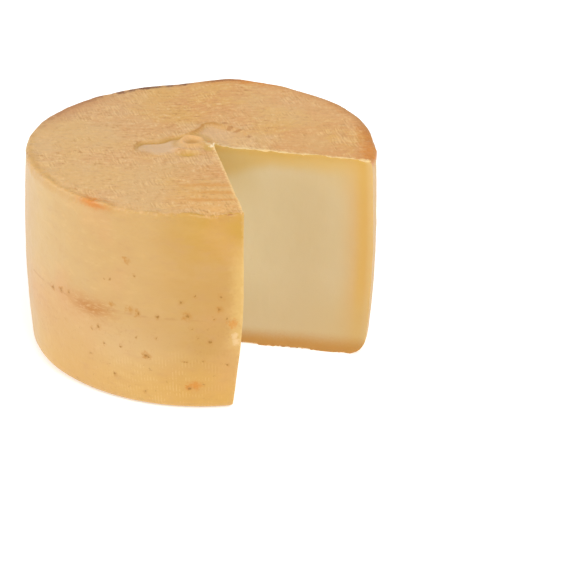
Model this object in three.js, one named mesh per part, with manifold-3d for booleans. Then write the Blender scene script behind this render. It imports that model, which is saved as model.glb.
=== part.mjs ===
// A wheel of pressed ewe's-milk cheese with one wedge cut out of it.
//
// The wheel is one solid: a drum with bulging sides, a tight rim on top and a slumped, rounder
// edge at the base. Its top carries the print of the press cloth: a fold line with a hollow in
// front of it, and the swirl where the cloth was gathered. Two straight knife cuts that meet
// near the axis take out the wedge.
//
// Frame: +Z up, millimetres, origin on the wheel's axis at the face it stands on. The cut-out
// opens between -Y and +X.

import * as THREE from "three";
import { mergeVertices } from "three/addons/utils/BufferGeometryUtils.js";
import Module from "manifold-3d";

const wasm = await Module();
wasm.setup();

// Driving dimensions: the drum
const BELLY_RADIUS = 90; // widest, a little above half height
const WHEEL_HEIGHT = 109; // mean height of the top's rim
const BELLY_HEIGHT = 61;
const TOP_RADIUS = 88.8; // where the sides would meet the top if its rim were sharp
const BASE_RADIUS = 86.3; // the same at the base
const RIM_ROUND = 3.2;
const BASE_ROUND = 8.5;

// The rim rises and falls round the wheel: [waves in one turn, height, angle of a crest]
const RIM_WAVES = [
  [1, 0.46, THREE.MathUtils.degToRad(-28)],
  [2, 0.86, THREE.MathUtils.degToRad(44)],
  [3, 0.59, THREE.MathUtils.degToRad(56)],
];
const RIM_WAVES_FROM = 55; // height from which the side follows the rim

// The press cloth's fold line on the top, and the hollow on its near side
const FOLD_LINE = [
  [-34, -15],
  [-30.5, -5.5],
  [-21.5, -2],
  [-10, 6],
  [-3.5, 17],
  [4.5, 25.5],
  [11, 18],
  [20, 3],
].map(([x, y]) => new THREE.Vector3(x, y, 0));
const FOLD_DEPTH = 2.2;
const FOLD_WALL = 2.4; // width of the step at the fold line
const HOLLOW_REACH = 15; // how far in front of the line the hollow has risen again
const HOLLOW_CENTRE = new THREE.Vector3(-7, -14, 0); // which side of the line is the hollow's

// The swirl of gathered cloth that stands in the hollow
const SWIRL_CENTRE = new THREE.Vector2(-4, 1);
const SWIRL_RADIUS = 13;
const SWIRL_PITCH = 12;
const SWIRL_HEIGHT = 1.1;
const SWIRL_TURN = THREE.MathUtils.degToRad(200);

// The two knife cuts: the line where they meet, and the way that each runs out from it
const CUT_MEETS_TOP = new THREE.Vector3(6.5, -3, WHEEL_HEIGHT);
const CUT_MEETS_BASE = new THREE.Vector3(1.3, -3.9, 0);
const LEFT_CUT_ANGLE = THREE.MathUtils.degToRad(-79.7);
const RIGHT_CUT_ANGLE = THREE.MathUtils.degToRad(-12.6);

// How finely the curved surfaces are divided
const SEGMENTS = 84;
const RELIEF_RADIUS = 40; // the cloth's print lies inside this
const RELIEF_RING = 2;
const OUTER_RING = 8;
const SIDE_STEPS = 8;
const ROUND_STEPS = 5;

const smooth = (low, high, value) => THREE.MathUtils.smoothstep(value, low, high);

// The side's radius at a height: two parabolas that meet at the belly.
function sideRadius(z) {
  const above = z > BELLY_HEIGHT;
  const end = above ? TOP_RADIUS : BASE_RADIUS;
  const reach = above ? WHEEL_HEIGHT - BELLY_HEIGHT : BELLY_HEIGHT;
  return BELLY_RADIUS - (BELLY_RADIUS - end) * ((z - BELLY_HEIGHT) / reach) ** 2;
}

// A quarter round from one angle to another, without its first point.
function quarterRound(radius, z, size, from, to) {
  return Array.from({ length: ROUND_STEPS }, (_, i) => {
    const angle = THREE.MathUtils.lerp(from, to, (i + 1) / ROUND_STEPS);
    return new THREE.Vector2(radius + size * Math.cos(angle), z + size * Math.sin(angle));
  });
}

// The drum's half section, from the middle of the base to the middle of the top.
function halfSection() {
  const baseSide = sideRadius(BASE_ROUND);
  const topSide = sideRadius(WHEEL_HEIGHT - RIM_ROUND);
  const points = [new THREE.Vector2(0, 0), new THREE.Vector2(baseSide - BASE_ROUND, 0)];
  points.push(...quarterRound(baseSide - BASE_ROUND, BASE_ROUND, BASE_ROUND, -Math.PI / 2, 0));
  for (let i = 1; i <= SIDE_STEPS; i++) {
    const z = THREE.MathUtils.lerp(BASE_ROUND, WHEEL_HEIGHT - RIM_ROUND, i / SIDE_STEPS);
    points.push(new THREE.Vector2(sideRadius(z), z));
  }
  const rimInner = topSide - RIM_ROUND;
  points.push(...quarterRound(rimInner, WHEEL_HEIGHT - RIM_ROUND, RIM_ROUND, 0, Math.PI / 2));
  const outerRings = Math.round((rimInner - RELIEF_RADIUS) / OUTER_RING);
  for (let i = 1; i <= outerRings; i++) {
    const radius = THREE.MathUtils.lerp(rimInner, RELIEF_RADIUS, i / outerRings);
    points.push(new THREE.Vector2(radius, WHEEL_HEIGHT));
  }
  for (let radius = RELIEF_RADIUS - RELIEF_RING; radius > 0; radius -= RELIEF_RING) {
    points.push(new THREE.Vector2(radius, WHEEL_HEIGHT));
  }
  points.push(new THREE.Vector2(0, WHEEL_HEIGHT));
  return points;
}

const rimLift = (angle) =>
  RIM_WAVES.reduce((sum, [waves, height, crest]) => sum + height * Math.cos(waves * (angle - crest)), 0);

// The fold line as short straight steps, with how far along it each one lies.
const foldSteps = new THREE.CatmullRomCurve3(FOLD_LINE).getSpacedPoints(64);

// How deep the hollow in front of the fold line is at a point of the top.
function foldHollow(point) {
  let nearest = 0;
  foldSteps.forEach((step, i) => {
    if (step.distanceTo(point) < foldSteps[nearest].distanceTo(point)) nearest = i;
  });
  const along = nearest / (foldSteps.length - 1);
  const foot = foldSteps[nearest];
  const away = point.distanceTo(foot);
  const inHollow = point.clone().sub(foot).dot(HOLLOW_CENTRE.clone().sub(foot)) > 0;
  const wall = smooth(0, FOLD_WALL, inHollow ? away : 0);
  const rise = Math.exp(-((away / HOLLOW_REACH) ** 2));
  const ends = smooth(0, 0.12, along) * smooth(0, 0.25, 1 - along);
  return FOLD_DEPTH * wall * rise * ends;
}

// The swirl's height at a point of the top: a spiral wave that dies away from its centre.
function swirl(point) {
  const x = point.x - SWIRL_CENTRE.x;
  const y = point.y - SWIRL_CENTRE.y;
  const radius = Math.hypot(x, y);
  const phase = (2 * Math.PI * radius) / SWIRL_PITCH - Math.atan2(y, x) - SWIRL_TURN;
  const start = smooth(0, 0.3 * SWIRL_PITCH, radius);
  return SWIRL_HEIGHT * Math.cos(phase) * start * Math.exp(-((radius / SWIRL_RADIUS) ** 4));
}

// Lifts the rim's waves and presses the cloth's print into the top.
function shapeWheel(geometry) {
  const position = geometry.getAttribute("position");
  const point = new THREE.Vector3();
  for (let i = 0; i < position.count; i++) {
    point.fromBufferAttribute(position, i);
    const radius = Math.hypot(point.x, point.y);
    const share = smooth(RIM_WAVES_FROM, WHEEL_HEIGHT, point.z) * smooth(0, BELLY_RADIUS, radius);
    let z = point.z + share * rimLift(Math.atan2(point.y, point.x));
    if (point.z === WHEEL_HEIGHT && radius < RELIEF_RADIUS) {
      const flat = point.clone().setZ(0);
      z += swirl(flat) - foldHollow(flat);
    }
    position.setZ(i, z);
  }
  return geometry;
}

// A closed geometry as a solid that can be cut.
function solidOf(geometry) {
  const bare = new THREE.BufferGeometry();
  bare.setAttribute("position", geometry.getAttribute("position"));
  bare.setIndex(geometry.getIndex());
  const merged = mergeVertices(bare, 1e-4);
  const corners = merged.getIndex().array;
  const triangles = [];
  for (let i = 0; i < corners.length; i += 3) {
    const [a, b, c] = corners.slice(i, i + 3);
    if (a !== b && b !== c && c !== a) triangles.push(a, b, c);
  }
  const vertProperties = merged.getAttribute("position").array;
  return new wasm.Manifold(
    new wasm.Mesh({ numProp: 3, vertProperties, triVerts: new Uint32Array(triangles) }),
  );
}

// The drum before it is cut. A lathe turns about its own Y, so it is stood up along Z.
function wheel() {
  const lathe = new THREE.LatheGeometry(halfSection(), SEGMENTS);
  return solidOf(shapeWheel(lathe.rotateX(Math.PI / 2)));
}

// All that lies on one side of a knife cut, which runs out at an angle from the line where the
// cuts meet. turn is 1 for the side that lies anticlockwise of the cut, and -1 for the other.
function besideCut(angle, turn) {
  const size = 4 * BELLY_RADIUS;
  const along = new THREE.Vector3(Math.cos(angle), Math.sin(angle), 0);
  const meeting = CUT_MEETS_TOP.clone().sub(CUT_MEETS_BASE);
  const into = meeting.cross(along).normalize().multiplyScalar(turn);
  const up = along.clone().cross(into);
  const middle = CUT_MEETS_TOP.clone().add(CUT_MEETS_BASE).multiplyScalar(0.5);
  const place = new THREE.Matrix4().makeBasis(along, into, up);
  place.setPosition(middle.addScaledVector(into, size / 2));
  return solidOf(new THREE.BoxGeometry(size, size, size).applyMatrix4(place));
}

function geometryOf(solid) {
  const mesh = solid.getMesh();
  const geometry = new THREE.BufferGeometry();
  geometry.setAttribute("position", new THREE.BufferAttribute(mesh.vertProperties, 3));
  geometry.setIndex(new THREE.BufferAttribute(mesh.triVerts, 1));
  geometry.computeVertexNormals();
  return geometry;
}

const wedge = besideCut(LEFT_CUT_ANGLE, 1).intersect(besideCut(RIGHT_CUT_ANGLE, -1));
const rind = new THREE.MeshStandardMaterial({ color: 0xe0b377, roughness: 0.6, metalness: 0 });
const cheese = new THREE.Mesh(geometryOf(wheel().subtract(wedge)), rind);
cheese.name = "cheese_wheel";

const part = new THREE.Group();
part.add(cheese);

export default part;
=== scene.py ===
# %% [markdown]
# # A cut wheel of pressed cheese
# This lesson dresses a drum of pressed ewe's-milk cheese that a knife has opened from the edge to the
# middle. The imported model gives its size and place. Everything that shows is built here: the body with
# its bulging side, the print of the press cloth on top, the two knife cuts, and the finishes of rind
# and paste.

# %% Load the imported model
import functools
import math

import bpy
from mathutils import Matrix, Vector


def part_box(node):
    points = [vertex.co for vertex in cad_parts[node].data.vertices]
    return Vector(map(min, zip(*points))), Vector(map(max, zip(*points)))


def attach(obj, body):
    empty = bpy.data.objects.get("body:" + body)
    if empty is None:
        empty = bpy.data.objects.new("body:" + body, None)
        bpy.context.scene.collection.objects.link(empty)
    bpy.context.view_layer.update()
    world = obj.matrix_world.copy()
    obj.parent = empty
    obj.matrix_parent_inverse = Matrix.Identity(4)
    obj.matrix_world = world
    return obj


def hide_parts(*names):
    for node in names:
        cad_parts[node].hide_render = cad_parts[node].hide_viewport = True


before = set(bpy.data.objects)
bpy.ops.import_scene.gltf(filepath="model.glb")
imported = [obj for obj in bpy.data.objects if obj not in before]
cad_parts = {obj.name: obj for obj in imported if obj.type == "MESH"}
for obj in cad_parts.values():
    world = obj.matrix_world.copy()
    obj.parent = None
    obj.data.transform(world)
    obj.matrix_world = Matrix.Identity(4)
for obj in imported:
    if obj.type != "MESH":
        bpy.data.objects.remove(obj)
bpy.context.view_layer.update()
wheel_low, wheel_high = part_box("cheese_wheel")
MM = 0.001
BELLY_RADIUS = (wheel_high.x - wheel_low.x) / 2

# %% [markdown]
# ## A socket that takes part in sums
# Both the shape and the finishes below are formulas. Node by node they would fill pages, so one
# small class wraps a node's output: each Python operator adds a Math node, and every other node
# comes from the same method. It serves geometry trees and materials alike.

# %% The wire class


class Wire:
    """A node's output. Sums with it add Math nodes to its tree."""

    def __init__(self, socket):
        self.socket = socket

    @staticmethod
    def node(tree, kind, settings=None, sockets=None, out=0):
        """Adds a node: its settings first, then the values or links of its sockets."""
        made = tree.nodes.new(kind)
        for name, value in (settings or {}).items():
            setattr(made, name, value)
        for name, value in (sockets or {}).items():
            if isinstance(value, Wire):
                tree.links.new(value.socket, made.inputs[name])
            else:
                made.inputs[name].default_value = value
        return Wire(made.outputs[out])

    def other(self, name):
        """Another output of the same node."""
        return Wire(self.socket.node.outputs[name])

    def also(self, kind, settings=None, sockets=None, out=0):
        """Adds a node to this wire's tree."""
        return Wire.node(self.socket.id_data, kind, settings, sockets, out)

    def math(self, operation, *values):
        """Adds a Math node that works on the values, which may be wires or numbers."""
        return self.also("ShaderNodeMath", {"operation": operation}, dict(enumerate(values)))

    def __add__(self, other):
        return self.math("ADD", self, other)

    def __sub__(self, other):
        return self.math("SUBTRACT", self, other)

    def __rsub__(self, other):
        return self.math("SUBTRACT", other, self)

    def __mul__(self, other):
        return self.math("MULTIPLY", self, other)

    def __truediv__(self, other):
        return self.math("DIVIDE", self, other)

    def __rtruediv__(self, other):
        return self.math("DIVIDE", other, self)

    def __pow__(self, other):
        return self.math("POWER", self, other)

    def __rpow__(self, other):
        return self.math("POWER", other, self)

    def __lt__(self, other):
        return self.math("LESS_THAN", self, other)

    def __gt__(self, other):
        return self.math("GREATER_THAN", self, other)

    __radd__ = __add__
    __rmul__ = __mul__


print("wire class ready")

# %% [markdown]
# ## Small formulas
# A few shapes of formula come back all the time: a soft step, a straight ramp, a bell-shaped bump and
# random patches. Each gets a short name, so that the lines below read like a description.

# %% Steps, bells and noise


def smooth(wire, low, high):
    """0 below low, 1 above high, and an S-curve between. Low may be the larger one."""
    sockets = {"Value": wire, "From Min": low, "From Max": high}
    return wire.also("ShaderNodeMapRange", {"interpolation_type": "SMOOTHSTEP"}, sockets)


def ramp(wire, low, high):
    """0 at low and 1 at high, straight between them."""
    return wire.also("ShaderNodeMapRange", {}, {"Value": wire, "From Min": low, "From Max": high})


def bell(wire, width):
    """1 where the wire is 0, falling to either side over about that width."""
    share = wire / width
    fall = share * share * -1.0
    return fall.math("EXPONENT", fall)


def sine(wire):
    return wire.math("SINE", wire)


def cosine(wire):
    return wire.math("COSINE", wire)


def smaller(a, b):
    return a.math("MINIMUM", a, b)


def larger(a, b):
    return a.math("MAXIMUM", a, b)


def noise(place, scale, detail=2.0, roughness=0.5):
    """Soft random patches from 0 to 1, about 1 / scale across. The pattern is the same in every run."""
    sockets = {"Vector": place, "Scale": scale, "Detail": detail, "Roughness": roughness}
    return place.also("ShaderNodeTexNoise", {}, sockets)


def vector(x, y, z):
    first = next(v for v in (x, y, z) if isinstance(v, Wire))
    return first.also("ShaderNodeCombineXYZ", {}, {"X": x, "Y": y, "Z": z})


def parts(wire):
    """The three numbers of a vector."""
    split = wire.also("ShaderNodeSeparateXYZ", {}, {0: wire})
    return split, split.other("Y"), split.other("Z")


def vector_math(operation, a, b, out=0):
    first = a if isinstance(a, Wire) else b
    return first.also("ShaderNodeVectorMath", {"operation": operation}, {0: a, 1: b}, out)


def distance(a, b):
    return vector_math("DISTANCE", a, b, "Value")


print("formulas ready")

# %% [markdown]
# ## The wheel's body
# The real wheel is a drum pressed in a cloth-lined mould: it bulges a little above half height, has
# a tight rim on top and slumps at its foot. In front, both the rim and the foot are rounded less and
# the foot is drawn in. The solid could be lathed and cut with a Boolean, but that leaves long thin
# faces that take no fine relief. Instead a cube with many divisions is bent by formula: its X becomes
# the angle round the wheel, its Y the way out from the line where the cuts meet, and its Z the way up
# the half section. The cube's ends then are the two knife cuts, and every face lies where the next
# finish needs it.

# %% Sizes of the body
RIM_CREST = 1.49 * MM  # how far the rim rises above its mean height at most
WHEEL_HEIGHT = wheel_high.z - RIM_CREST
CUT_MEETS_TOP = Vector((6.5, -3.0)) * MM
CUT_MEETS_BASE = Vector((1.3, -3.9)) * MM
RIGHT_CUT_ANGLE = math.radians(-12.6)
LEFT_CUT_ANGLE = math.radians(-79.7 + 360.0)
BASE_ARC_ENDS = 0.12  # share of the half section that rounds the base edge
RIM_ARC_STARTS = 0.93  # and where the rim's rounding begins
FRONT_RIM_TIGHTER = 0.5  # how much less the rim is rounded in front
FRONT_FOOT_TIGHTER = 0.45  # the same at the base edge
FRONT_FOOT_DRAWN_IN = 4.0 * MM  # how much more the foot is drawn in there
RADIAL_BUNCH = 0.5  # below 1, rings lie closer together near the middle
CUT_BUNCH = 0.6  # above 0, rays lie closer together near the cuts
print("height of the mean rim", round(WHEEL_HEIGHT / MM, 1), "mm")

# %% [markdown]
# ## The fold line
# Where the press cloth was gathered it left a fold across the middle of the top, with a hollow in
# front of it. A curve object draws that line, so it can be moved by hand, and the tree measures
# each point's distance to it.

# %% Draw the fold line
FOLD_LINE = [(-30, -15), (-33, -10), (-34, -5), (-32, 2), (-29.5, 4.6), (-25.5, 5.6), (-20.5, 7)]
FOLD_LINE += [(-15.5, 11), (-10, 13), (-3, 19), (4.8, 28.5), (11, 25), (19, 19.5), (26, 10)]


def fold_curve():
    data = bpy.data.curves.new("fold_line", "CURVE")
    data.dimensions = "3D"
    data.resolution_u = 8
    spline = data.splines.new("BEZIER")
    spline.bezier_points.add(len(FOLD_LINE) - 1)
    for point, (x, y) in zip(spline.bezier_points, FOLD_LINE):
        point.co = (x * MM, y * MM, 0)
        point.handle_left_type = "AUTO"
        point.handle_right_type = "AUTO"
    made = bpy.data.objects.new("fold_line", data)
    bpy.context.scene.collection.objects.link(made)
    return made


fold_line = fold_curve()
print("fold line through", len(FOLD_LINE), "points")

# %% [markdown]
# ## Bending the cube
# The tree's sizes are named inputs on the modifier. Working up the half section, the base edge is
# a quarter round, the side two parabolas that meet at the belly, and the rim a tighter quarter
# round. From the line where the cuts meet, each ray runs out until it meets the wheel's round.

# %% The tree that shapes the wheel
tree = bpy.data.node_groups.new("cut_wheel", "GeometryNodeTree")
tree.interface.new_socket(name="Wheel", in_out="OUTPUT", socket_type="NodeSocketGeometry")
tree_inputs = tree.nodes.new("NodeGroupInput")
tree_output = tree.nodes.new("NodeGroupOutput")
input_values = {}


def size_input(name, value, kind="Float"):
    """A named input of the tree, and the value that the modifier gives it."""
    socket = tree.interface.new_socket(name=name, in_out="INPUT", socket_type="NodeSocket" + kind)
    input_values[socket.identifier] = value
    return Wire(tree_inputs.outputs[name])


belly = size_input("Belly Radius", BELLY_RADIUS)
height = size_input("Height", WHEEL_HEIGHT)
belly_height = size_input("Belly Height", 61 * MM)
top_inset = size_input("Top Inset", 1.2 * MM)
base_inset = size_input("Base Inset", 3.7 * MM)
rim_round = size_input("Rim Round", 3.2 * MM)
base_round = size_input("Base Round", 8.5 * MM)
fold_object = size_input("Fold Line", fold_line, "Object")
cube_sizes = {
    "Size": (1.0, 1.0, 1.0),
    "Vertices X": size_input("Steps Round", 361, "Int"),
    "Vertices Y": size_input("Steps Out", 81, "Int"),
    "Vertices Z": size_input("Steps Up", 61, "Int"),
}
cube = Wire.node(tree, "GeometryNodeMeshCube", {}, cube_sizes)
cube_place = cube.also("GeometryNodeInputPosition")
turn, out, up = (axis + 0.5 for axis in parts(cube_place))
print("tree inputs", [item.name for item in tree.interface.items_tree])

# %% The half section
bunched = turn - sine(turn * (2 * math.pi)) * (CUT_BUNCH / (2 * math.pi))
angle = RIGHT_CUT_ANGLE + bunched * (LEFT_CUT_ANGLE - RIGHT_CUT_ANGLE)
front_rim = smooth(sine(angle), 0.2, -0.4)  # the sine is -1 at the very front
front_foot = smooth(sine(angle), -0.3, -0.85)
rim_round = rim_round * (1 - front_rim * FRONT_RIM_TIGHTER)
base_round = base_round * (1 - front_foot * FRONT_FOOT_TIGHTER)
base_inset = base_inset + front_foot * FRONT_FOOT_DRAWN_IN

base_part = ramp(up, 0.0, BASE_ARC_ENDS) * (math.pi / 2)
rim_part = ramp(up, RIM_ARC_STARTS, 1.0) * (math.pi / 2)
side_part = ramp(up, BASE_ARC_ENDS, RIM_ARC_STARTS)
side_z = base_round * (1 - cosine(base_part)) + side_part * (height - rim_round - base_round)
level = side_z + rim_round * sine(rim_part)
above = larger(side_z - belly_height, 0.0) / (height - belly_height)
below = larger(belly_height - side_z, 0.0) / belly_height
bulge = belly - top_inset * above * above - base_inset * below * below
edge = bulge - base_round * (1 - sine(base_part)) - rim_round * (1 - cosine(rim_part))
print("half section written")

# %% The rays
risen = level / height
meet_x = CUT_MEETS_BASE.x + risen * (CUT_MEETS_TOP.x - CUT_MEETS_BASE.x)
meet_y = CUT_MEETS_BASE.y + risen * (CUT_MEETS_TOP.y - CUT_MEETS_BASE.y)
along = meet_x * cosine(angle) + meet_y * sine(angle)
reach = (edge * edge - meet_x * meet_x - meet_y * meet_y + along * along) ** 0.5 - along
ray = reach * out * (RADIAL_BUNCH + out * (1 - RADIAL_BUNCH))
bent = vector(meet_x + cosine(angle) * ray, meet_y + sine(angle) * ray, level)


def quarter(wire):
    """An angle kept between 0 and a quarter turn."""
    return smaller(larger(wire, 0.0), math.pi / 2)


from_right = sine(quarter(angle - RIGHT_CUT_ANGLE))
from_left = sine(quarter(LEFT_CUT_ANGLE - angle))
from_cut = ray * smaller(from_right, from_left)
on_cut = (turn < 0.0001) + (turn > 0.9999)
print("rays written")

# %% [markdown]
# ## What the finishes need to know
# A finish changes with its place: the paste turns golden near the rind, and the rind pales at the
# knife's edge. Those distances are easy to say while the shape is made, so they are stored on the
# mesh as named attributes, in metres.

# %% Store the places


def store(geometry, name, value, kind="FLOAT", domain="POINT"):
    settings = {"data_type": kind, "domain": domain}
    sockets = {"Geometry": geometry, "Name": name, "Value": value}
    return geometry.also("GeometryNodeStoreNamedAttribute", settings, sockets)


body = store(cube, "cut", on_cut, "FLOAT", "FACE")
body = store(body, "inside", vector(reach - ray, height - level, level), "FLOAT_VECTOR")
body = store(body, "from_cut", from_cut)
body = store(body, "top", rim_part / (math.pi / 2))
body = body.also("GeometryNodeSetPosition", {}, {"Geometry": body, "Position": bent})
print("places stored")

# %% [markdown]
# ## Relief
# The rim rises and falls by a millimetre or so. On top lies the print of the gathered press cloth: a
# step along the fold line, the hollow in front of it, and the navel where the cloth was knotted, a
# ring round a small hole with a low ridge and a slit before it. A bump in the finish would cast no
# shade and would leave the outline as it is, so each of these lifts or sinks real points.

# %% Rim waves
RIM_WAVES = [  # count round the wheel, lift, and angle of a crest
    (1, 0.46 * MM, -28.0),
    (2, 0.86 * MM, 44.0),
    (3, 0.59 * MM, 56.0),
]
RIM_DENTS = [  # angle, width and lift
    (97.0, 8.0, -1.2 * MM),
    (112.0, 12.0, -0.4 * MM),
    (79.0, 7.0, 1.0 * MM),
    (50.0, 11.0, -0.8 * MM),
    (18.0, 14.0, 0.7 * MM),
]

spot = body.also("GeometryNodeInputPosition")
x, y, z = parts(spot)
radius = (x * x + y * y) ** 0.5
bearing = x.math("ARCTAN2", y, x)
flat = vector(x, y, 0.0)

rim_lift = sum(cosine((bearing - math.radians(crest)) * count) * lift for count, lift, crest in RIM_WAVES)
for dent_at, dent_width, dent in RIM_DENTS:
    rim_lift = rim_lift + bell(bearing - math.radians(dent_at), math.radians(dent_width)) * dent
rim_lift = rim_lift * smooth(z, 0.5 * WHEEL_HEIGHT, WHEEL_HEIGHT) * smooth(radius, 0.0, BELLY_RADIUS)
print("rim has", len(RIM_WAVES), "waves and", len(RIM_DENTS), "dents")

# %% Fold and hollow
FOLD_DEPTH = 1.75 * MM
FOLD_WALL = 1.9 * MM
FOLD_FRAY = 2.4 * MM
HOLLOW_CENTRE = Vector((-7, -14, 0)) * MM
HOLLOW_FLOOR = 12 * MM  # how far from the fold the hollow's floor is level
HOLLOW_REACH = 22 * MM  # and where it has risen again

info = spot.also("GeometryNodeObjectInfo", {}, {"Object": fold_object}, "Geometry")
line = info.also("GeometryNodeCurveToMesh", {}, {"Curve": info})
nearest = line.also("GeometryNodeProximity", {"target_element": "EDGES"}, {0: line, "Sample Position": flat})
away = nearest.other("Distance")
inward = vector_math("SUBTRACT", HOLLOW_CENTRE, nearest)
in_hollow = vector_math("DOT_PRODUCT", vector_math("SUBTRACT", flat, nearest), inward, "Value") > 0.0
fold_strength = smooth(y, -14 * MM, 5 * MM) * smooth(x, 27 * MM, 11 * MM)
into_hollow = away * (in_hollow * 2.0 - 1.0) + (noise(spot, 160.0, 3.0) - 0.5) * FOLD_FRAY
hollow = smooth(into_hollow, 0.0, FOLD_WALL) * smooth(into_hollow, HOLLOW_REACH, HOLLOW_FLOOR)
hollow = hollow * fold_strength
body = store(body, "fold", into_hollow)
body = store(body, "fold_share", fold_strength)
print("fold sinks by", round(FOLD_DEPTH / MM, 2), "mm")

# %% Navel
NAVEL_CENTRE = Vector((-4.2, 4.2)) * MM
NAVEL_RING = 5.7 * MM
NAVEL_DEEPER = 1.35  # its depth over its width
NAVEL_ROUND = 2.2 * MM
NAVEL_HEIGHT = 2.4 * MM
NAVEL_FRAY = 2.2 * MM
RIDGE_RING = 11.5 * MM
RIDGE_ROUND = 2.2 * MM
RIDGE_HEIGHT = 1.4 * MM
SLIT = Vector((-6.6, -13.8)) * MM
SLIT_HALF_LENGTH = 4.4 * MM
SLIT_HALF_WIDTH = 2.0 * MM
SLIT_DEPTH = 1.1 * MM


def oval(a, b, centre, half_length, half_width):
    """1 in the middle of an oval on the top, falling outwards."""
    u = (a - centre[0]) / half_length
    v = (b - centre[1]) / half_width
    return bell((u * u + v * v) ** 0.5, 1.0)


def navel_distance(a, b, centre):
    """Distance from the navel's middle, measured so that its oval ring counts as round."""
    return ((a - centre.x) ** 2.0 + ((b - centre.y) / NAVEL_DEEPER) ** 2.0) ** 0.5


from_navel = navel_distance(x, y, NAVEL_CENTRE) + (noise(spot, 130.0, 3.0) - 0.5) * NAVEL_FRAY
left_of_navel = smooth(x, NAVEL_CENTRE.x + NAVEL_RING, NAVEL_CENTRE.x - NAVEL_RING)
before_navel = smooth(y, NAVEL_CENTRE.y + NAVEL_RING, NAVEL_CENTRE.y - NAVEL_RING)
ring_round = NAVEL_ROUND * (0.75 + before_navel * 0.6)
ring = bell(from_navel - NAVEL_RING, ring_round) * (0.5 + larger(left_of_navel, before_navel) * 0.4)
ridge = bell(from_navel - RIDGE_RING, RIDGE_ROUND) * smooth(y, -2 * MM, -8 * MM) * smooth(x, 4 * MM, -3 * MM)
slit = oval(x, y, SLIT, SLIT_HALF_LENGTH, SLIT_HALF_WIDTH)
relief = ring * NAVEL_HEIGHT + ridge * RIDGE_HEIGHT - slit * SLIT_DEPTH - hollow * FOLD_DEPTH
relief = relief * smooth(z, 0.75 * WHEEL_HEIGHT, WHEEL_HEIGHT)
print("navel rises by", round(NAVEL_HEIGHT / MM, 1), "mm")

# %% [markdown]
# ## Unevenness and the knife
# No wheel is turned true: two sizes of noise push the rind in and out by a few tenths of a
# millimetre, and the front of the rim wobbles by a little more. The knife bowed as it went, so the cut
# edges bend and wave. It dragged its faces slightly out of flat, left a crumbly burr along the top edge
# of each cut, chipped the base edge, and tore up the curd where the two cuts meet.

# %% Unevenness of the rind
WIDE_SWELL = 0.9 * MM
SMALL_SWELL = 0.3 * MM
RIM_WOBBLE = 5.2 * MM
WOBBLE_SIDEWAYS = 0.6  # how much of the wobble also goes outwards

wide = noise(spot, 55.0) - 0.5
small = noise(spot, 260.0, 3.0) - 0.5
swell = wide * WIDE_SWELL + small * SMALL_SWELL
off_base = smooth(z, 0.0, 6 * MM)
on_top = smooth(z, WHEEL_HEIGHT - 5 * MM, WHEEL_HEIGHT - 1 * MM)
safe_radius = larger(radius, 1 * MM)
at_rim = smooth(radius, 78 * MM, 86 * MM) * smooth(z, WHEEL_HEIGHT - 9 * MM, WHEEL_HEIGHT - 2 * MM)
wobble = (noise(spot, 80.0, 3.0) - 0.5) * at_rim * smooth(y, 25 * MM, -10 * MM) * RIM_WOBBLE
outward = swell * off_base * smooth(radius, 60 * MM, 85 * MM) / safe_radius
outward = outward + wobble * WOBBLE_SIDEWAYS / safe_radius
print("unevenness written")

# %% Traces of the knife
BURR_WIDTH = 1.1 * MM
BURR_HEIGHT = 0.9 * MM
TORN_REACH = 1.7 * MM
TORN_HEIGHT = 2.4 * MM
EDGE_WAVE_REACH = 2.0 * MM
EDGE_WAVES = 2.6 * MM
CHIP_REACH = 0.8 * MM
BASE_CHIPS = 1.2 * MM
DRAG_REACH = 0.3 * MM
KNIFE_DRAG = 0.5 * MM
BOW_REACH = 12 * MM
KNIFE_BOW = 1.3 * MM
IN_THE_GAP = (-1.0, -0.6)  # two angles between the cuts, from the left one to the right one

crumb = noise(spot, 620.0, 2.0)
knife = body.also("GeometryNodeInputNamedAttribute", {"data_type": "FLOAT"}, {"Name": "from_cut"})
from_meeting = distance(flat, (*CUT_MEETS_TOP, 0.0))
burr = bell(knife, BURR_WIDTH) * (crumb - 0.35) * BURR_HEIGHT
torn = bell(from_meeting, TORN_REACH) * smooth(crumb, 0.4, 0.62) * TORN_HEIGHT
edge_waves = bell(knife, EDGE_WAVE_REACH) * (noise(spot, 150.0, 2.0) - 0.5)
edge_waves = edge_waves * smooth(bearing, *IN_THE_GAP) * EDGE_WAVES
chips = bell(knife, CHIP_REACH) * smooth(z, 1.5 * MM, 0.0) * smooth(crumb + wide, 0.42, 0.62) * BASE_CHIPS
drag = (noise(spot, 75.0, 3.0) - 0.5) * bell(knife, DRAG_REACH) * smooth(from_meeting, 4 * MM, 14 * MM)
drag = drag * KNIFE_DRAG * off_base
bow = bell(z - 50 * MM, 40 * MM) - smooth(z, 60 * MM, 100 * MM) * 0.6
bow = bow * bell(knife, BOW_REACH) * smooth(y, -12 * MM, -70 * MM)
print("knife drags by up to", round(KNIFE_DRAG / MM, 1), "mm and bows by", round(KNIFE_BOW / MM, 1), "mm")

# %% Move the points
lift = rim_lift + relief + (swell + burr + torn + edge_waves) * on_top
lift = lift + chips + wobble
shift = vector(x * outward + drag + bow * KNIFE_BOW, y * outward + drag, lift)
body = body.also("GeometryNodeSetPosition", {}, {"Geometry": body, "Offset": shift})
body = body.also("GeometryNodeMergeByDistance", {}, {"Geometry": body, "Distance": 0.01 * MM})
print("points moved")

# %% [markdown]
# ## Closing the tree
# Edges sharper than 55 degrees stay crisp, so the cuts keep their knife edge while the rind is
# shaded smooth. The last nodes give the rind to every face and the paste to the two cuts.

# %% The finished tree
CRISP_ANGLE = math.radians(55)

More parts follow.
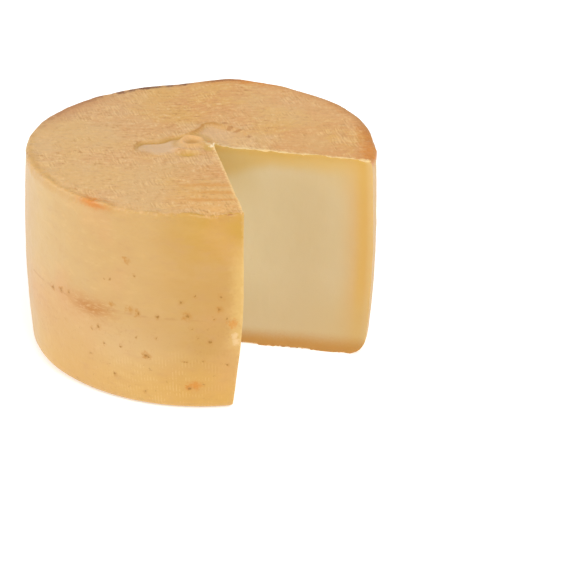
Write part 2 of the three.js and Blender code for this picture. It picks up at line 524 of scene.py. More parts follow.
edge_angle = body.also("GeometryNodeInputMeshEdgeAngle")
sharp = {"Geometry": body, "Selection": edge_angle > CRISP_ANGLE, "Shade Smooth": False}
body = body.also("GeometryNodeSetShadeSmooth", {"domain": "EDGE"}, sharp)
body = body.also("GeometryNodeRealizeInstances", {}, {"Geometry": body})

rind = bpy.data.materials.new("rind")
paste = bpy.data.materials.new("paste")
is_cut = body.also("GeometryNodeInputNamedAttribute", {"data_type": "FLOAT"}, {"Name": "cut"})
body = body.also("GeometryNodeSetMaterial", {}, {"Geometry": body, "Material": rind})
paste_sockets = {"Geometry": body, "Selection": is_cut > 0.5, "Material": paste}
body = body.also("GeometryNodeSetMaterial", {}, paste_sockets)
tree.links.new(body.socket, tree_output.inputs[0])
print("tree has", len(tree.nodes), "nodes")

# %% [markdown]
# ## From tree to mesh
# The tree is evaluated once and its result copied to a plain mesh.
# The helper curve goes again.

# %% Evaluate the tree


def grown_mesh(name):
    carrier = bpy.data.objects.new(name, bpy.data.meshes.new(name + "_carrier"))
    bpy.context.scene.collection.objects.link(carrier)
    modifier = carrier.modifiers.new("cut_wheel", "NODES")
    modifier.node_group = tree
    for identifier, value in input_values.items():
        modifier[identifier] = value
    evaluated = carrier.evaluated_get(bpy.context.evaluated_depsgraph_get())
    mesh = bpy.data.meshes.new_from_object(evaluated)
    mesh.name = name
    if mesh.materials[0] is None:
        mesh.materials.pop(index=0)
    carrier.modifiers.remove(modifier)
    carrier.data = mesh
    return carrier


wheel = grown_mesh("cut_wheel")
bpy.data.objects.remove(fold_line)
wheel.data.calc_loop_triangles()
print("wheel", len(wheel.data.vertices), "points", len(wheel.data.loop_triangles), "triangles")
for index, material in enumerate(wheel.data.materials):
    faces = sum(1 for face in wheel.data.polygons if face.material_index == index)
    print(material.name, faces, "faces")

# %% [markdown]
# ## Finishes: shared helpers
# Colours are written as they show on a screen under the studio's light, and turned into the share of
# light that the surface sends back, which is what shaders use. The studio is brighter than a surface
# colour needs, so that the pale floor shows as plain white, and the colours are dimmed to match. A
# finish could be painted by hand as a picture, but a stack of formulas stays sharp at any distance and
# can be tuned: each layer has a share from 0 to 1 and a colour, and covers what is below it.

# %% Colour helpers
STUDIO_LIGHT = 1.25


def screen(red, green, blue):
    """A screen colour of 0 to 255 as a surface colour with alpha, by the usual curve of screens."""
    def linear(value):
        share = value / 255
        return share / 12.92 if share <= 0.04045 else ((share + 0.055) / 1.055) ** 2.4
    return (*(linear(value) / STUDIO_LIGHT for value in (red, green, blue)), 1.0)


def layered(colour, layers):
    """Lays colours over a first one, each by its share: 0 leaves what is below, 1 covers it."""
    for share, over in layers:
        colour = share.also("ShaderNodeMix", {"data_type": "RGBA"}, {0: share, 6: colour, 7: over}, 2)
    return colour


def attribute(start, name, out="Fac"):
    return start.also("ShaderNodeAttribute", {"attribute_name": name}, {}, out)


def finish_tree(material):
    """Empties a material down to its output, and returns its tree and the place in millimetres."""
    material.use_nodes = True
    nodes = material.node_tree.nodes
    for node in [n for n in nodes if n.type != "OUTPUT_MATERIAL"]:
        nodes.remove(node)
    metres = Wire.node(material.node_tree, "ShaderNodeTexCoord", {}, {}, "Object")
    scaled = {0: metres, "Scale": 1 / MM}
    return material.node_tree, metres.also("ShaderNodeVectorMath", {"operation": "SCALE"}, scaled)


def shade(tree, sockets):
    """The shader at the end of a finish."""
    shader = Wire.node(tree, "ShaderNodeBsdfPrincipled", {}, sockets)
    output = next(n for n in tree.nodes if n.type == "OUTPUT_MATERIAL")
    tree.links.new(shader.socket, output.inputs["Surface"])


print("colour helpers ready")

# %% [markdown]
# ## Reading a place on the rind
# Every mark on the rind has its place: at an angle and a height on the side, or at a point of the
# top. Object coordinates in millimetres give both, and the attributes stored above say how far it lies
# round the rim, and how far from the cuts and the fold. Angles count in degrees from the right,
# anticlockwise seen from above, so the front is at -90 and the left at 180. The rind could be painted
# on an unrolled picture, but places in millimetres need no unrolling and have no seam.

# %% Where a point of the rind lies
RIND_RADIUS = BELLY_RADIUS / MM

rind_tree, rind_mm = finish_tree(rind)
rind_x, rind_y, rind_z = parts(rind_mm)
rind_radius = (rind_x * rind_x + rind_y * rind_y) ** 0.5
rind_angle = rind_mm.math("ARCTAN2", rind_y, rind_x)
knife_gap = attribute(rind_mm, "from_cut") / MM
fold_gap = attribute(rind_mm, "fold") / MM
rim = attribute(rind_mm, "top")

broad = noise(rind_mm, 0.03, 2.0)
rosy, olive, dull = parts(broad.other("Color"))
mottle = noise(vector(rind_x, rind_y, rind_z * 2.0), 0.13, 3.0, 0.6)
speck = noise(rind_mm, 0.55, 2.0, 0.6)
jitter = vector_math("SUBTRACT", speck.other("Color"), (0.5, 0.5, 0.5))
ragged = (speck - 0.5) * 0.8 + (mottle - 0.5) * 0.8
top = smooth(rim, 0.05, 0.4) * smooth(rind_radius + ragged * 6.0, 88.4, 86.4)
side = 1 - top
fold_share = attribute(rind_mm, "fold_share") * top
print("rind is", round(2 * RIND_RADIUS), "mm across")

# %% Places for marks


def uneven(wire, amount):
    """The wire, shifted to and fro by the mottling so that no line is ruled."""
    return wire + (mottle - 0.5) * amount


def turned_from(degrees):
    """How far round the wheel a point lies from that angle, in degrees, either way."""
    gap = cosine(rind_angle - math.radians(degrees))
    return gap.math("ARCCOSINE", gap) * (180 / math.pi)


def facing(degrees, width):
    """1 at that angle round the wheel, falling to either side over the width."""
    return smooth(turned_from(degrees), width, 0.0)


def side_marks(marks, fray):
    """Ragged spots on the side, each given as its angle, height and size: 1 inside, 0 outside."""
    unrolled = vector(rind_angle * RIND_RADIUS, rind_z, 0.0)
    place = vector_math("ADD", unrolled, vector_math("MULTIPLY", jitter, (fray, fray, 0.0)))
    gaps = [distance(place, (math.radians(a) * RIND_RADIUS, z, 0.0)) / size for a, z, size in marks]
    return smooth(uneven(functools.reduce(smaller, gaps), 0.8), 1.2, 0.4)


def top_mark(x, y, half_wide, half_deep):
    """A ragged spot on the top."""
    u = (rind_x - x) / half_wide
    v = (rind_y - y) / half_deep
    return smooth((u * u + v * v) ** 0.5 + ragged, 1.25, 0.45) * top


print("places for marks ready")

# %% [markdown]
# ## The rind's side
# The side was rubbed and turned for months, so it is smooth and waxy. It runs from a pale straw to a
# deep gold beside the left cut and is browner at the lower left; along the foot lies a painted glow of
# light. The angle round the wheel and slow noise decide how the colours run into each other. Over them
# lie soft clouds and mottling, and a paler strip along the left cut.

# %% Side: straw to amber
STRAW = screen(210, 176, 119)
HONEY = screen(202, 161, 97)
GOLD = screen(193, 147, 71)
AMBER = screen(194, 146, 40)
FOOT = screen(222, 172, 76)
ROSE = screen(210, 156, 98)

gilt = larger(ramp(turned_from(-78), 84.0, 4.0), ramp(turned_from(70), 80.0, 10.0) * 0.6)
gilt = uneven(gilt, 0.3) + (dull - 0.5) * 0.4
glow = facing(-82, 26) * smooth(uneven(rind_z, 14.0), 78.0, 98.0)
low_side = smooth(uneven(rind_z, 12.0), 40.0, 10.0)
blush = smooth(rosy, 0.48, 0.7) * 0.35 + facing(-158, 34) * bell(rind_z - 42.0, 16.0) * 0.65
side_colour = layered(STRAW, [
    (smooth(gilt, -0.1, 0.55), HONEY),
    (smooth(gilt, 0.5, 1.05), GOLD),
    (glow * 0.9, AMBER),
    (low_side * (0.4 + facing(-86, 60) * 0.2), FOOT),
    (blush * side, ROSE),
])
print("side runs from straw to amber")

# %% Side: clouds and patches
PALE_CLOUD = screen(228, 184, 116)
DARK_CLOUD = screen(190, 138, 72)
PALE_MOTTLE = screen(226, 188, 130)
DARK_MOTTLE = screen(184, 132, 74)
LOW_LIGHT = screen(226, 190, 136)
LEFT_EDGE_SHEEN_AND_SHADE = screen(200, 165, 120)
LOW_LEFT = screen(206, 154, 74)
LOW_FRONT = screen(200, 150, 64)
CUT_STRIP = screen(226, 188, 108)
RIGHT_HONEY_AND_RIM_LIGHT = screen(224, 176, 104)
FOOT_PAINTED_LIGHT = screen(250, 203, 106)

cloudy = noise(vector(rind_x / 20.0, rind_y / 20.0, rind_z / 9.0), 1.0, 2.0, 0.5)
low_half = smooth(rind_z, 72.0, 40.0)
low_left = facing(-140, 28) * smooth(uneven(rind_z, 16.0), 58.0, 28.0)
beside_cut = smooth(knife_gap + ragged * 6.0, 9.0, 0.5) * facing(-80, 30)
beside_cut = beside_cut * smooth(rind_z, 100.0, 78.0) * smooth(rind_z, 24.0, 44.0)
side_colour = layered(side_colour, [
    (smooth(cloudy, 0.5, 0.75) * 0.12, PALE_CLOUD),
    (smooth(cloudy, 0.48, 0.25) * 0.14, DARK_CLOUD),
    (smooth(mottle, 0.5, 0.8) * smooth(gilt, 1.0, 0.4) * 0.35, PALE_MOTTLE),
    (smooth(mottle, 0.5, 0.22) * (0.25 + low_half * 0.05), DARK_MOTTLE),
    (bell(rind_z - 33.0, 14.0) * facing(-122, 34) * 0.3, LOW_LIGHT),
    # painted sheen and shade: a greyer, darker tone at the far left edge
    (facing(-172, 22) * 0.6, LEFT_EDGE_SHEEN_AND_SHADE),
    (low_left * 0.45, LOW_LEFT),
    (facing(-93, 20) * bell(rind_z - 14.0, 13.0) * 0.45, LOW_FRONT),
    (beside_cut * 0.5, CUT_STRIP),
    # partly the rind's honey tone, partly painted rim light along the right edge
    (facing(-4, 24) * 0.6, RIGHT_HONEY_AND_RIM_LIGHT),
    # painted light: a glow along the foot, strongest in front
    (smooth(rind_z, 4.0, 0.5) * (0.15 + facing(-92, 50) * 0.2), FOOT_PAINTED_LIGHT),
])
print("side has clouds and patches")

# %% [markdown]
# ## The rind's top
# The top lay against the press cloth and was brushed less, so it is a dull tan, blotched with rose
# and gold. Noise that is squeezed along one axis draws the cloth's print: short slanting strokes where
# its upright threads lay, unevenly and in patches, and slubs across them. An exact weave would look
# machine-made, so a wave with the threads' pitch only nudges the noise.

# %% Print of the cloth
THREAD_PITCH = 1.7  # millimetres from thread to thread


def stretched(along_x, along_y):
    """The place squeezed so that noise on it has spots of those lengths."""
    return vector(rind_x / along_x, rind_y / along_y, rind_z / along_y)


slub = noise(stretched(5.0, 2.1), 1.0, 3.0, 0.55)
thread = noise(stretched(1.5, 2.4), 1.0, 2.0, 0.6)
print_share = thread * 0.5 + slub * 0.65
slanted = uneven(rind_x + rind_y * 0.25, 3.0)
warp = noise(vector(slanted, rind_y / 8.0, 0.0), 1.0, 1.0, 0.5)
warp = warp + sine(slanted * (2 * math.pi / THREAD_PITCH)) * 0.06
woven = smooth(mottle + (olive - 0.5) * 0.8, 0.46, 0.57)
busy = 0.5 + smooth(uneven(rosy, 0.6), 0.4, 0.6) * 0.4
print("threads lie", THREAD_PITCH, "mm apart")

# %% Top colours
TAN = screen(212, 168, 108)
RUSSET = screen(211, 154, 92)
GILT = screen(214, 165, 87)
DUSTY = screen(218, 176, 130)
LEFT_TAN = screen(216, 178, 128)
FRONT_GOLD = screen(224, 172, 98)
BACK_TAN = screen(222, 182, 128)
CREAM = screen(228, 189, 134)
UMBER = screen(184, 134, 68)
THREAD_PALE = screen(232, 192, 130)
BAND_ORANGE = screen(208, 146, 66)

warm = (rosy - 0.5) * 2.2 + smooth(rind_x, 20.0, 85.0) * 0.55 + smooth(rind_y, 10.0, 75.0) * 0.5
front_right = smooth(rind_y, -38.0, -70.0) * smooth(rind_x, -25.0, 5.0)
back_right = smooth(rind_x, 8.0, 34.0) * smooth(rind_y, 14.0, 34.0)
bands = top_mark(5, -52, 16, 2.6) + top_mark(8, -61, 15, 2.4) + top_mark(6, -70, 17, 2.4)
top_colour = layered(TAN, [
    (smooth(warm, -0.25, 0.5), RUSSET),
    (smooth(dull + (slub - 0.5) * 0.6, 0.46, 0.64) * 0.75, GILT),
    (smooth(uneven(olive, 0.5), 0.52, 0.68) * 0.4, DUSTY),
    (smooth(rind_x, 0.0, -60.0) * 0.45, LEFT_TAN),
    (front_right * 0.6, FRONT_GOLD),
    (back_right * 0.3, BACK_TAN),
    (smooth(print_share, 0.58, 0.78) * busy, CREAM),
    (smooth(print_share, 0.57, 0.35) * busy * 0.9, UMBER),
    (smooth(warp, 0.52, 0.68) * woven * 0.5, THREAD_PALE),
    (smooth(warp, 0.48, 0.34) * woven * 0.36, UMBER),
    (smaller(bands, 1.0) * 0.65, BAND_ORANGE),
])
print("top is tan with strokes and slubs")

# %% [markdown]
# ## Fold and navel
# The hollow was sheltered from the cloth: it is smooth and pale, with a faint lilac cast. Its wall
# and every low place round the navel kept moisture and turned golden, and painted shade darkens them
# further, most at the wall's foot and in the navel's hole, slit and side groove. The lip is a thin brown
# line that comes and goes. The ring's crests carry a painted highlight, strongest on the left, and
# brown cracks follow the fold's right end.

# %% Fold colours
PALE_HOLLOW = screen(215, 179, 139)
GOLD_AND_HOLLOW_SHADE = screen(190, 144, 52)
WALL_FOOT_SHADE = screen(172, 124, 48)
LIP_BROWN = screen(182, 130, 56)

left_lobe = smooth(rind_x, -4.0, -13.0)
in_fold = smooth(fold_gap, 0.0, 2.0)
floor_share = in_fold * smooth(fold_gap + ragged * 5.0, 21.0, 15.0) * fold_share
floor_share = larger(floor_share, top_mark(-21, -5, 12, 9) * in_fold * 0.85)
wall_shade_share = smooth(fold_gap, -0.4, 1.5) * smooth(fold_gap + ragged, 2.8, 1.6) * fold_share
shaded_wall_foot = bell(fold_gap - 1.8, 0.6) * fold_share * left_lobe
lip_share = larger(smooth(rind_x, -30.0, -33.0), smooth(rind_x, -9.0, -2.0) * smooth(rind_x, 16.0, 6.0))
lip_share = lip_share * 0.75 + 0.1
top_colour = layered(top_colour, [
    (floor_share * (0.42 + left_lobe * 0.5), PALE_HOLLOW),
    # painted shade on the fold's wall over its gold, darkest at the wall's foot
    (wall_shade_share * (0.3 + left_lobe * 0.5), GOLD_AND_HOLLOW_SHADE),
    (shaded_wall_foot * 0.35, WALL_FOOT_SHADE),
    (bell(fold_gap - 0.2 + ragged * 0.6, 0.8) * fold_share * lip_share, LIP_BROWN),
])
print("fold coloured")

# %% Navel colours
NAVEL_AT = NAVEL_CENTRE / MM
SLIT_AT = SLIT / MM
NAVEL_TAN = screen(222, 171, 98)
CREST_HIGHLIGHT = screen(228, 178, 116)
HOLE_SHADE = screen(192, 140, 66)
GUTTER_SHADE = screen(206, 158, 76)
SLIT_GOLD_SHADE = screen(196, 152, 62)
DROP_ORANGE = screen(222, 136, 64)
CRACK_BROWN = screen(174, 120, 60)

navel_gap = navel_distance(rind_x, rind_y, NAVEL_AT)
left_crest_highlight = smooth(rind_x, NAVEL_AT.x, NAVEL_AT.x - 5.0)
cracks = top_mark(12, 27, 1.6, 1.4) + top_mark(15, 22, 2.2, 1.6) + top_mark(19, 18, 3.0, 1.2)
cracks = cracks + top_mark(24.5, 9, 1.2, 2.4)
top_colour = layered(top_colour, [
    (smooth(navel_gap, 9.0, 6.0) * 0.6, NAVEL_TAN),
    # painted shade in the low ring round the navel, over its gold
    (bell(navel_gap - 9.0, 1.8) * floor_share * 0.5, GOLD_AND_HOLLOW_SHADE),
    # painted highlight on the ring's crests, strongest on the left
    (bell(navel_gap - 5.6, 1.2) * (0.3 + left_crest_highlight * 0.6), CREST_HIGHLIGHT),
    # painted shade in the navel's hole, the groove right of the ring and the slit
    (smooth(navel_gap, 4.6, 2.2) * 0.8, HOLE_SHADE),
    (oval(rind_x, rind_y, (2.4, 4.0), 1.5, 4.0) * 0.7, GUTTER_SHADE),
    (oval(rind_x, rind_y, SLIT_AT, 4.8, 2.4) * 0.85, SLIT_GOLD_SHADE),
    (top_mark(3.8, 6.0, 1.0, 1.4) * 0.9, DROP_ORANGE),
    (smaller(cracks, 1.0) * 0.7, CRACK_BROWN),
])
print("navel coloured")

# %% [markdown]
# ## Rim and knife edge
# Shelves and hands wear the rim: it is brown at the back left and orange at the back and the right,
# with short dark dashes and one scuff at the front left. Each is a ragged ring that shows only round
# its own angle. Along each cut runs a thin cream line, a painted highlight on the knife edge, with
# crumbly curd beside the right one, and the torn tip shows white.

# %% Rim colours
RIM_ORANGE = screen(206, 130, 46)
RIM_BROWN = screen(118, 74, 46)
RIM_ROSE = screen(194, 138, 86)
RIM_GOLD = screen(202, 156, 88)
DASH_BROWN = screen(168, 108, 50)
SCUFF_ORANGE = screen(206, 130, 42)
SCUFF_ANGLE = -126.5
SCUFF_HEIGHT = 107.6

upper = smooth(rind_z, 103.0, 106.5)


def rim_band(fray, inner, outer):
    """A ragged ring along the rim, from an inner to an outer radius."""
    return smooth(rind_radius + ragged * fray, inner, outer) * upper


orange_rim = facing(76, 20) * 1.3 + facing(-8, 36) + facing(30, 60) * 0.5
brown_rim = facing(128, 50) * smooth(mottle, 0.4, 0.5) * 1.3 + facing(25, 56) * 0.2 + facing(82, 10) * 0.6
brown_rim = brown_rim + facing(102, 14) * smooth(slub, 0.4, 0.5)
dashes = bell(rim - 0.55, 0.3) * smooth(slub, 0.56, 0.68)
off_scuff = rind_z - SCUFF_HEIGHT + ragged * 2.4 + (slub - 0.5) * 3.0
scuff = bell(off_scuff, 1.7) * smooth(rind_radius, 83.0, 85.5)
rim_colour = layered(side_colour, [
    (top, top_colour),
    (smaller(orange_rim, 1.0) * rim_band(9.0, 78.0, 86.5) * (0.8 + ragged), RIM_ORANGE),
    (smaller(brown_rim, 1.0) * rim_band(3.0, 82.0, 85.0) * (0.9 + ragged), RIM_BROWN),
    (facing(142, 34) * rim_band(12.0, 72.0, 84.0) * 0.8, RIM_ROSE),
    (facing(205, 60) * rim_band(6.0, 84.0, 86.5) * 0.7, RIM_GOLD),
    (dashes * (0.45 + facing(-87, 16) * 0.55 + facing(188, 26) * 0.5), DASH_BROWN),
    (smaller(facing(SCUFF_ANGLE, 9.5) * scuff * 1.3, 1.0), SCUFF_ORANGE),
])
print("rim coloured")

# %% Edge colours
TORN_AT = CUT_MEETS_TOP / MM
EDGE_CREAM_AND_HIGHLIGHT = screen(240, 208, 146)
LOOSE_CREAM = screen(236, 204, 150)
TIP_GOLD = screen(204, 160, 78)
CURD_WHITE = screen(243, 224, 186)

right_cut = smooth(rind_angle, *IN_THE_GAP)
torn_gap = ((rind_x - TORN_AT.x) ** 2.0 + (rind_y - TORN_AT.y) ** 2.0) ** 0.5
# painted highlight: a thin light line along each cut edge, on top and down the side
edge_highlight = smooth(knife_gap + ragged * 3.4, 1.5, 0.2) * (0.15 + top * (0.4 + right_cut * 0.2))
crumbly = smooth(knife_gap + ragged * 7.0, 2.8, 0.2) * right_cut * top
strewn = smooth(knife_gap + ragged * 20.0, 5.5, 2.0) * right_cut * top
edge_colour = layered(rim_colour, [
    # the painted edge highlight; the next layer is the real cream of the crumbs
    (edge_highlight, EDGE_CREAM_AND_HIGHLIGHT),
    (crumbly * 0.8, EDGE_CREAM_AND_HIGHLIGHT),
    (strewn * smooth(torn_gap, 34.0, 8.0) * 0.7, LOOSE_CREAM),
    (top_mark(3.6, -6.0, 3.0, 3.6) * 0.85, TIP_GOLD),
    (smooth(torn_gap + ragged * 5.0, 2.8, 1.0) * top * 0.9, CURD_WHITE),
])
print("edges coloured")

# %% [markdown]
# ## Pits, stains and the seam
# Ageing leaves its marks on the side: a scatter of small brown pits that grows denser towards the
# foot, a faint seam at half height where the mould's two halves met, a brown smear on it with a soft
# halo, and a handful of larger stains. Low down the cloth's threads show again. The scatter is a
# Voronoi pattern, whose cells each hold one point. The marks that catch the eye are listed one by one,
# round the back as well, each by its angle, height and size.

# %% Where the marks lie
STAINS = [
    (-141.0, 54.4, 2.0), (-146.0, 52.9, 2.0), (-94.4, 55.4, 3.0), (-84.4, 59.2, 2.4),
    (-119.0, 57.0, 1.8), (-113.8, 82.2, 2.2), (-108.0, 31.3, 2.6), (-113.0, 56.0, 2.8),
    (-110.5, 54.6, 2.4), (22.0, 53.0, 2.8), (58.0, 35.0, 2.4), (66.0, 54.0, 3.0),
    (71.0, 52.6, 2.2), (112.0, 55.0, 2.6), (117.0, 53.8, 2.0), (134.0, 30.0, 2.6),
    (93.0, 78.0, 2.0), (158.0, 50.0, 2.6), (164.0, 52.0, 2.0),
]
FRONT_PITS = [
    (-83.8, 65.7, 0.9), (-87.2, 41.0, 0.9), (-140.8, 54.4, 0.9), (-103.8, 54.1, 0.7),
    (-96.5, 63.1, 0.7), (-94.3, 55.7, 0.9), (-108.1, 31.1, 0.9), (-145.5, 53.0, 0.8),
    (-129.0, 24.6, 0.7), (-116.9, 33.8, 0.6), (-123.0, 33.0, 0.6), (-84.5, 59.2, 0.8),
    (-95.5, 29.3, 0.6), (-93.9, 13.4, 0.8), (-127.5, 39.5, 0.6), (-104.3, 41.9, 0.5),
    (-111.0, 41.0, 0.5), (-93.0, 48.1, 0.5), (-86.2, 54.2, 0.5), (-82.1, 54.0, 0.6),
    (-91.8, 66.7, 0.5), (-121.9, 69.5, 0.5), (-119.7, 70.4, 0.5), (-111.3, 74.6, 0.5),
    (-124.8, 41.8, 0.7), (-91.0, 43.1, 0.5), (-89.6, 29.8, 0.5), (-89.3, 16.0, 0.5),
    (-120.2, 16.2, 0.8), (-110.1, 54.7, 0.5), (-81.6, 27.3, 0.6), (-109.2, 9.0, 0.5),
    (-107.2, 30.2, 0.7), (-94.6, 29.0, 0.6), (-136.9, 55.1, 0.7),
]
BACK_PITS = [
    (5.0, 38.0, 0.9), (21.0, 53.6, 0.9), (34.0, 46.0, 0.7), (47.0, 24.0, 0.8),
    (57.4, 35.4, 0.9), (66.5, 54.4, 0.9), (75.0, 61.0, 0.7), (84.0, 22.0, 0.9),
    (89.0, 44.0, 0.7), (98.0, 33.0, 0.7), (106.0, 57.6, 0.8), (112.5, 55.4, 0.9),
    (121.0, 40.0, 0.8), (133.4, 30.4, 0.9), (141.0, 64.0, 0.7), (147.0, 43.0, 0.9),
    (157.6, 50.4, 0.9), (166.0, 26.0, 0.8), (172.0, 38.0, 0.7), (127.0, 16.0, 0.8),
]
PITS = FRONT_PITS + BACK_PITS
HALO_SPREAD = 2.4  # how much wider than its pit a pit's halo is
PIT_HALOS = [(a, z, size * HALO_SPREAD) for a, z, size in PITS]
ORANGE_SPOTS = [(-80.0, 51.0, 2.6), (-92.0, 15.4, 3.4), (-94.2, 14.0, 2.2)]
PALE_SPOTS = [(-79.3, 44.0, 2.0), (-79.0, 40.4, 2.2)]
print("side marked with", len(PITS), "placed pits and", len(STAINS), "stains")

# %% Shares of the marks
SEAM_HEIGHT = 53.0
SMEAR_HEIGHT = 52.0
SMEAR_ANGLE = -127.5
HALO_ANGLE = -134.0


def scattered(spacing, size):
    """Small round pits. Each cell of the pattern is as wide as the spacing."""
    frayed = vector_math("ADD", rind_mm, vector_math("MULTIPLY", jitter, (5.0, 5.0, 5.0)))
    sockets = {"Vector": frayed, "Scale": 1 / spacing}
    cell = rind_mm.also("ShaderNodeTexVoronoi", {}, sockets, "Distance")
    return smooth(cell * spacing, size, size * 0.3)


small_pits = scattered(7.0, 0.75) * smooth(rind_z, 70.0, 40.0) * (0.5 + facing(100, 90) * 0.4)
pit = larger(side_marks(PITS, 2.2), small_pits) * side
pit_halo = side_marks(PIT_HALOS, 5.0) * side
stain = side_marks(STAINS, 5.0) * (0.3 + smooth(speck, 0.4, 0.6) * 0.45) * side
seam = bell(rind_z - SEAM_HEIGHT - (mottle - 0.5) * 3.0, 0.6) * smooth(mottle, 0.4, 0.62) * side
grime = smooth(speck + (dull - 0.5) * 0.4, 0.56, 0.8) * smooth(rind_z, 66.0, 40.0) * side
smear = noise(vector(rind_x / 3.0, rind_y / 3.0, rind_z), 1.0, 3.0, 0.65)
off_smear = rind_z - SMEAR_HEIGHT - (mottle - 0.5) * 7.0
smeared = facing(SMEAR_ANGLE, 14) * bell(off_smear, 4.6) * smooth(smear, 0.32, 0.52) * side
halo = facing(HALO_ANGLE, 20) * bell(off_smear, 6.0) * side
threads = sine(uneven(rind_angle * (RIND_RADIUS * 2 * math.pi / THREAD_PITCH), 4.0))
cloth = larger(threads, 0.0) * smooth(rind_z, 40.0, 22.0) * facing(-102, 32) * smooth(mottle, 0.48, 0.6)
print("seam at", SEAM_HEIGHT, "mm")

# %% Colours of the marks
HALO_TAN = screen(208, 154, 90)
SMEAR_BROWN = screen(184, 119, 36)
STAIN_BROWN = screen(187, 126, 34)
GRIME_BROWN = screen(178, 122, 58)
CLOTH_PALE = screen(238, 200, 134)
SPOT_ORANGE = screen(206, 130, 24)
SEAM_BROWN = screen(176, 120, 60)
PIT_BROWN = screen(158, 108, 6)
SPOT_PALE = screen(236, 204, 160)

rind_colour = layered(edge_colour, [
    (halo * 0.5, HALO_TAN),
    (smeared * 0.9, SMEAR_BROWN),
    (stain, STAIN_BROWN),
    (grime * 0.2, GRIME_BROWN),
    (cloth * side * 0.26, CLOTH_PALE),
    (side_marks(ORANGE_SPOTS, 7.0) * (0.75 + ragged), SPOT_ORANGE),
    (seam * 0.35, SEAM_BROWN),
    (pit_halo * 0.3, STAIN_BROWN),
    (pit * 0.82, PIT_BROWN),
    (side_marks(PALE_SPOTS, 4.0) * 0.45, SPOT_PALE),
])
print("marks coloured")

# %% [markdown]
# ## Relief and sheen of the rind
# A bump in millimetres finishes the rind: the strokes of the cloth on the top, a faint ripple and the
# pits on the side. The rind is waxy, so it has a soft sheen, and light enters it a little way.

# %% Rind shader
LIGHT_SPREAD = (1.0, 0.6, 0.3)  # red light goes farthest inside the cheese

top_height = (print_share * 0.2 + slub * 0.15) * top * (1 - floor_share * 0.8)
side_height = (mottle * 0.5 + speck * 0.1 - pit * 0.2 - seam * 0.1) * side
rind_bump = {"Strength": 0.7, "Distance": MM, "Height": top_height + side_height}
shade(rind_tree, {
    "Base Color": rind_colour,
    "Roughness": 0.5 + top * 0.1 + (mottle - 0.5) * 0.2,
    "Normal": rind_mm.also("ShaderNodeBump", {}, rind_bump),
    "Subsurface Weight": 0.12,
    "Subsurface Radius": LIGHT_SPREAD,
    "Subsurface Scale": 3 * MM,
})
print("rind has", len(rind_tree.nodes), "nodes")

# %% [markdown]
# ## The paste
# Inside, the cheese is a close, even ivory, palest at its heart. Towards the rind it dried and turned
# golden, in a soft band under the top and the side that widens in the corners, with a deeper line and
# a pale edge right under the side. The base has a browner, crumbly margin. The stored distances to
# side, top and base draw those bands, and a little noise keeps them from being ruled lines.

# %% Paste colours
IVORY = screen(208, 182, 134)
CLOUD_IVORY = screen(207, 180, 128)
HEART_IVORY = screen(231, 213, 171)
SUNLIT = screen(214, 174, 96)
SIDE_BAND = screen(213, 164, 86)
TIP_SHADE_IVORY = screen(208, 178, 114)
UNDER_RIND = screen(208, 160, 58)
GOLD_LINE = screen(213, 166, 60)
PALE_EDGE = screen(217, 179, 108)
LOW_IVORY = screen(198, 168, 116)
BASE_CRUST = screen(190, 134, 48)
CRUMB_BROWN = screen(150, 96, 40)
GRIT_IVORY = screen(190, 160, 104)

paste_tree, paste_mm = finish_tree(paste)
to_side, to_top, to_base = (gap / MM for gap in parts(attribute(paste_mm, "inside", "Vector")))
drift = (noise(paste_mm, 0.07, 2.0) - 0.5) * 3.0
grit = noise(paste_mm, 0.9, 2.0, 0.65)
cloud = noise(paste_mm, 0.03, 2.0)
near_tip = smooth(to_side, 50.0, 86.0)
# painted shade: the paste under the top near where the cuts meet is darker and yellower
tip_shade = smooth(to_side, 52.0, 70.0) * smooth(to_top, 40.0, 6.0)
corner_gold = smooth(to_side, 38.0, 10.0) * (smooth(to_top, 24.0, 6.0) + smooth(to_base, 40.0, 12.0))
crust = smooth(to_base + drift * 0.6 + (grit - 0.5) * 2.5, 12.0, 2.5)
paste_colour = layered(IVORY, [
    (smooth(cloud, 0.35, 0.7) * 0.35, CLOUD_IVORY),
    (smooth(to_side, 26.0, 84.0) * 0.85, HEART_IVORY),
    (smooth(to_top + drift - near_tip * 9.0, 12.0, 3.0) * 0.92, SUNLIT),
    (smooth(to_side + drift, 20.0, 3.0) * 0.9, SIDE_BAND),
    (tip_shade * 0.55, TIP_SHADE_IVORY),
    (corner_gold * 0.35, SUNLIT),
    (smooth(to_top + drift * 0.5, 4.5, 0.8) * 0.38, UNDER_RIND),
    (bell(to_side + drift * 0.5 - 5.0, 3.2) * 0.5, GOLD_LINE),
    (smooth(to_side + drift * 0.3, 4.0, 0.3) * 0.8, PALE_EDGE),
    (smooth(to_base + drift, 46.0, 10.0) * 0.4, LOW_IVORY),
    (crust * 0.95, BASE_CRUST),
    (smooth(grit, 0.5, 0.66) * smooth(to_base, 2.5, 0.3) * 0.35, CRUMB_BROWN),
    (smooth(grit, 0.62, 0.75) * 0.1, GRIT_IVORY),
])
print("paste coloured")

# %% Paste shader
paste_bump = {"Strength": 0.6, "Distance": MM, "Height": grit * 0.06 + cloud * 0.6}
shade(paste_tree, {
    "Base Color": paste_colour,
    "Roughness": 0.46 + (grit - 0.5) * 0.15,
    "Normal": paste_mm.also("ShaderNodeBump", {}, paste_bump),
    "Subsurface Weight": 0.2,
    "Subsurface Radius": LIGHT_SPREAD,
    "Subsurface Scale": 4 * MM,
})
print("paste has", len(paste_tree.nodes), "nodes")

# %% [markdown]
# ## Camera
# The photograph was taken with a long lens from above, so that the wheel's sides hardly draw together.
# The camera's height, distance and aim were worked out from the ellipses of rim and foot. Its turn
# is built from three small angles, because a tracking constraint could not hold the slight roll.

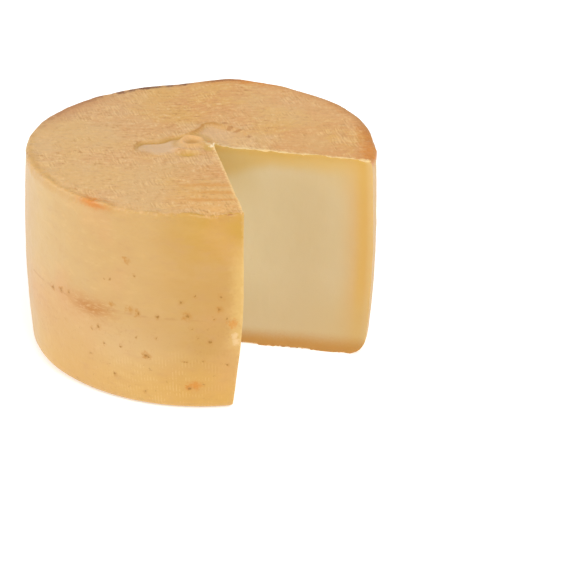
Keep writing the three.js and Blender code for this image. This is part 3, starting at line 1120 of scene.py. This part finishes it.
# %% Camera
IMAGE_WIDTH = 586
FOCAL_PIXELS = 3300
SENSOR_WIDTH = 36
CAMERA_DISTANCE = 1.7236  # metres
CAMERA_ELEVATION = math.radians(26.42)
AIM_YAW = math.radians(1.77)
AIM_PITCH = math.radians(25.66)
AIM_ROLL = math.radians(0.71)


def aimed_camera():
    data = bpy.data.cameras.new("camera")
    data.sensor_width = SENSOR_WIDTH
    data.lens = FOCAL_PIXELS * SENSOR_WIDTH / IMAGE_WIDTH
    made = bpy.data.objects.new("camera", data)
    bpy.context.scene.collection.objects.link(made)
    level_aim = Vector((math.sin(AIM_YAW), math.cos(AIM_YAW), 0))
    forward = level_aim * math.cos(AIM_PITCH) - Vector((0, 0, math.sin(AIM_PITCH)))
    level_right = Vector((math.cos(AIM_YAW), -math.sin(AIM_YAW), 0))
    level_up = level_right.cross(forward)
    right = level_right * math.cos(AIM_ROLL) + level_up * math.sin(AIM_ROLL)
    upward = right.cross(forward)
    turned = Matrix((right, upward, -forward)).transposed().to_4x4()
    back = Vector((0, -math.cos(CAMERA_ELEVATION), math.sin(CAMERA_ELEVATION)))
    made.matrix_world = Matrix.Translation(back * CAMERA_DISTANCE) @ turned
    return made


bpy.context.scene.camera = aimed_camera()
print("camera lens", round(bpy.context.scene.camera.data.lens), "mm")

# %% [markdown]
# ## Light
# A studio lights food from large, soft sources. One box in front, a little to the right, reaches into
# the cut-out, a second one lifts the left side, and a white world fills the shadows.

# %% Soft boxes and world
SOFT_BOXES = [  # name, place, width in metres and watts
    ("front_box", (0.91, -1.87, 2.16), 2.0, 77),
    ("left_box", (-2.6, 0.2, 1.2), 1.4, 43),
]
WORLD_STRENGTH = 0.6


def soft_box(name, place, size, power):
    data = bpy.data.lights.new(name, "AREA")
    data.size = size
    data.energy = power
    made = bpy.data.objects.new(name, data)
    made.location = place
    made.rotation_euler = (-Vector(place)).to_track_quat("-Z", "Y").to_euler()
    bpy.context.scene.collection.objects.link(made)


for box in SOFT_BOXES:
    soft_box(*box)
world = bpy.data.worlds.new("studio")
bpy.context.scene.world = world
world.use_nodes = True
background = world.node_tree.nodes["Background"]
background.inputs["Color"].default_value = (1, 1, 1, 1)
background.inputs["Strength"].default_value = WORLD_STRENGTH
bpy.context.scene.view_settings.view_transform = "Standard"
print("lit by", len(SOFT_BOXES), "soft boxes and a white world")

# %% [markdown]
# ## Floor
# The floor is a plain pale sheet, lit well past white as in the photograph. A sheet that only sends
# back light would show a grey halo round the foot, so part of its light is its own.

# %% Floor
FLOOR_REACH = 8.0  # metres from the middle to each side
FLOOR_WHITE = (0.78, 0.78, 0.78, 1)
FLOOR_GLOW = 0.4

floor_mesh = bpy.data.meshes.new("floor")
corners = [(-FLOOR_REACH, -FLOOR_REACH, 0), (FLOOR_REACH, -FLOOR_REACH, 0)]
corners += [(FLOOR_REACH, FLOOR_REACH, 0), (-FLOOR_REACH, FLOOR_REACH, 0)]
floor_mesh.from_pydata(corners, [], [(0, 1, 2, 3)])
floor = bpy.data.objects.new("floor", floor_mesh)
bpy.context.scene.collection.objects.link(floor)
pale = bpy.data.materials.new("pale_floor")
shade(finish_tree(pale)[0], {
    "Base Color": FLOOR_WHITE,
    "Roughness": 0.9,
    "Emission Color": (1, 1, 1, 1),
    "Emission Strength": FLOOR_GLOW,
})
floor_mesh.materials.append(pale)
print("floor", 2 * FLOOR_REACH, "m wide")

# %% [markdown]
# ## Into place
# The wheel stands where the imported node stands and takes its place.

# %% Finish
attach(wheel, "root")
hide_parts("cheese_wheel")
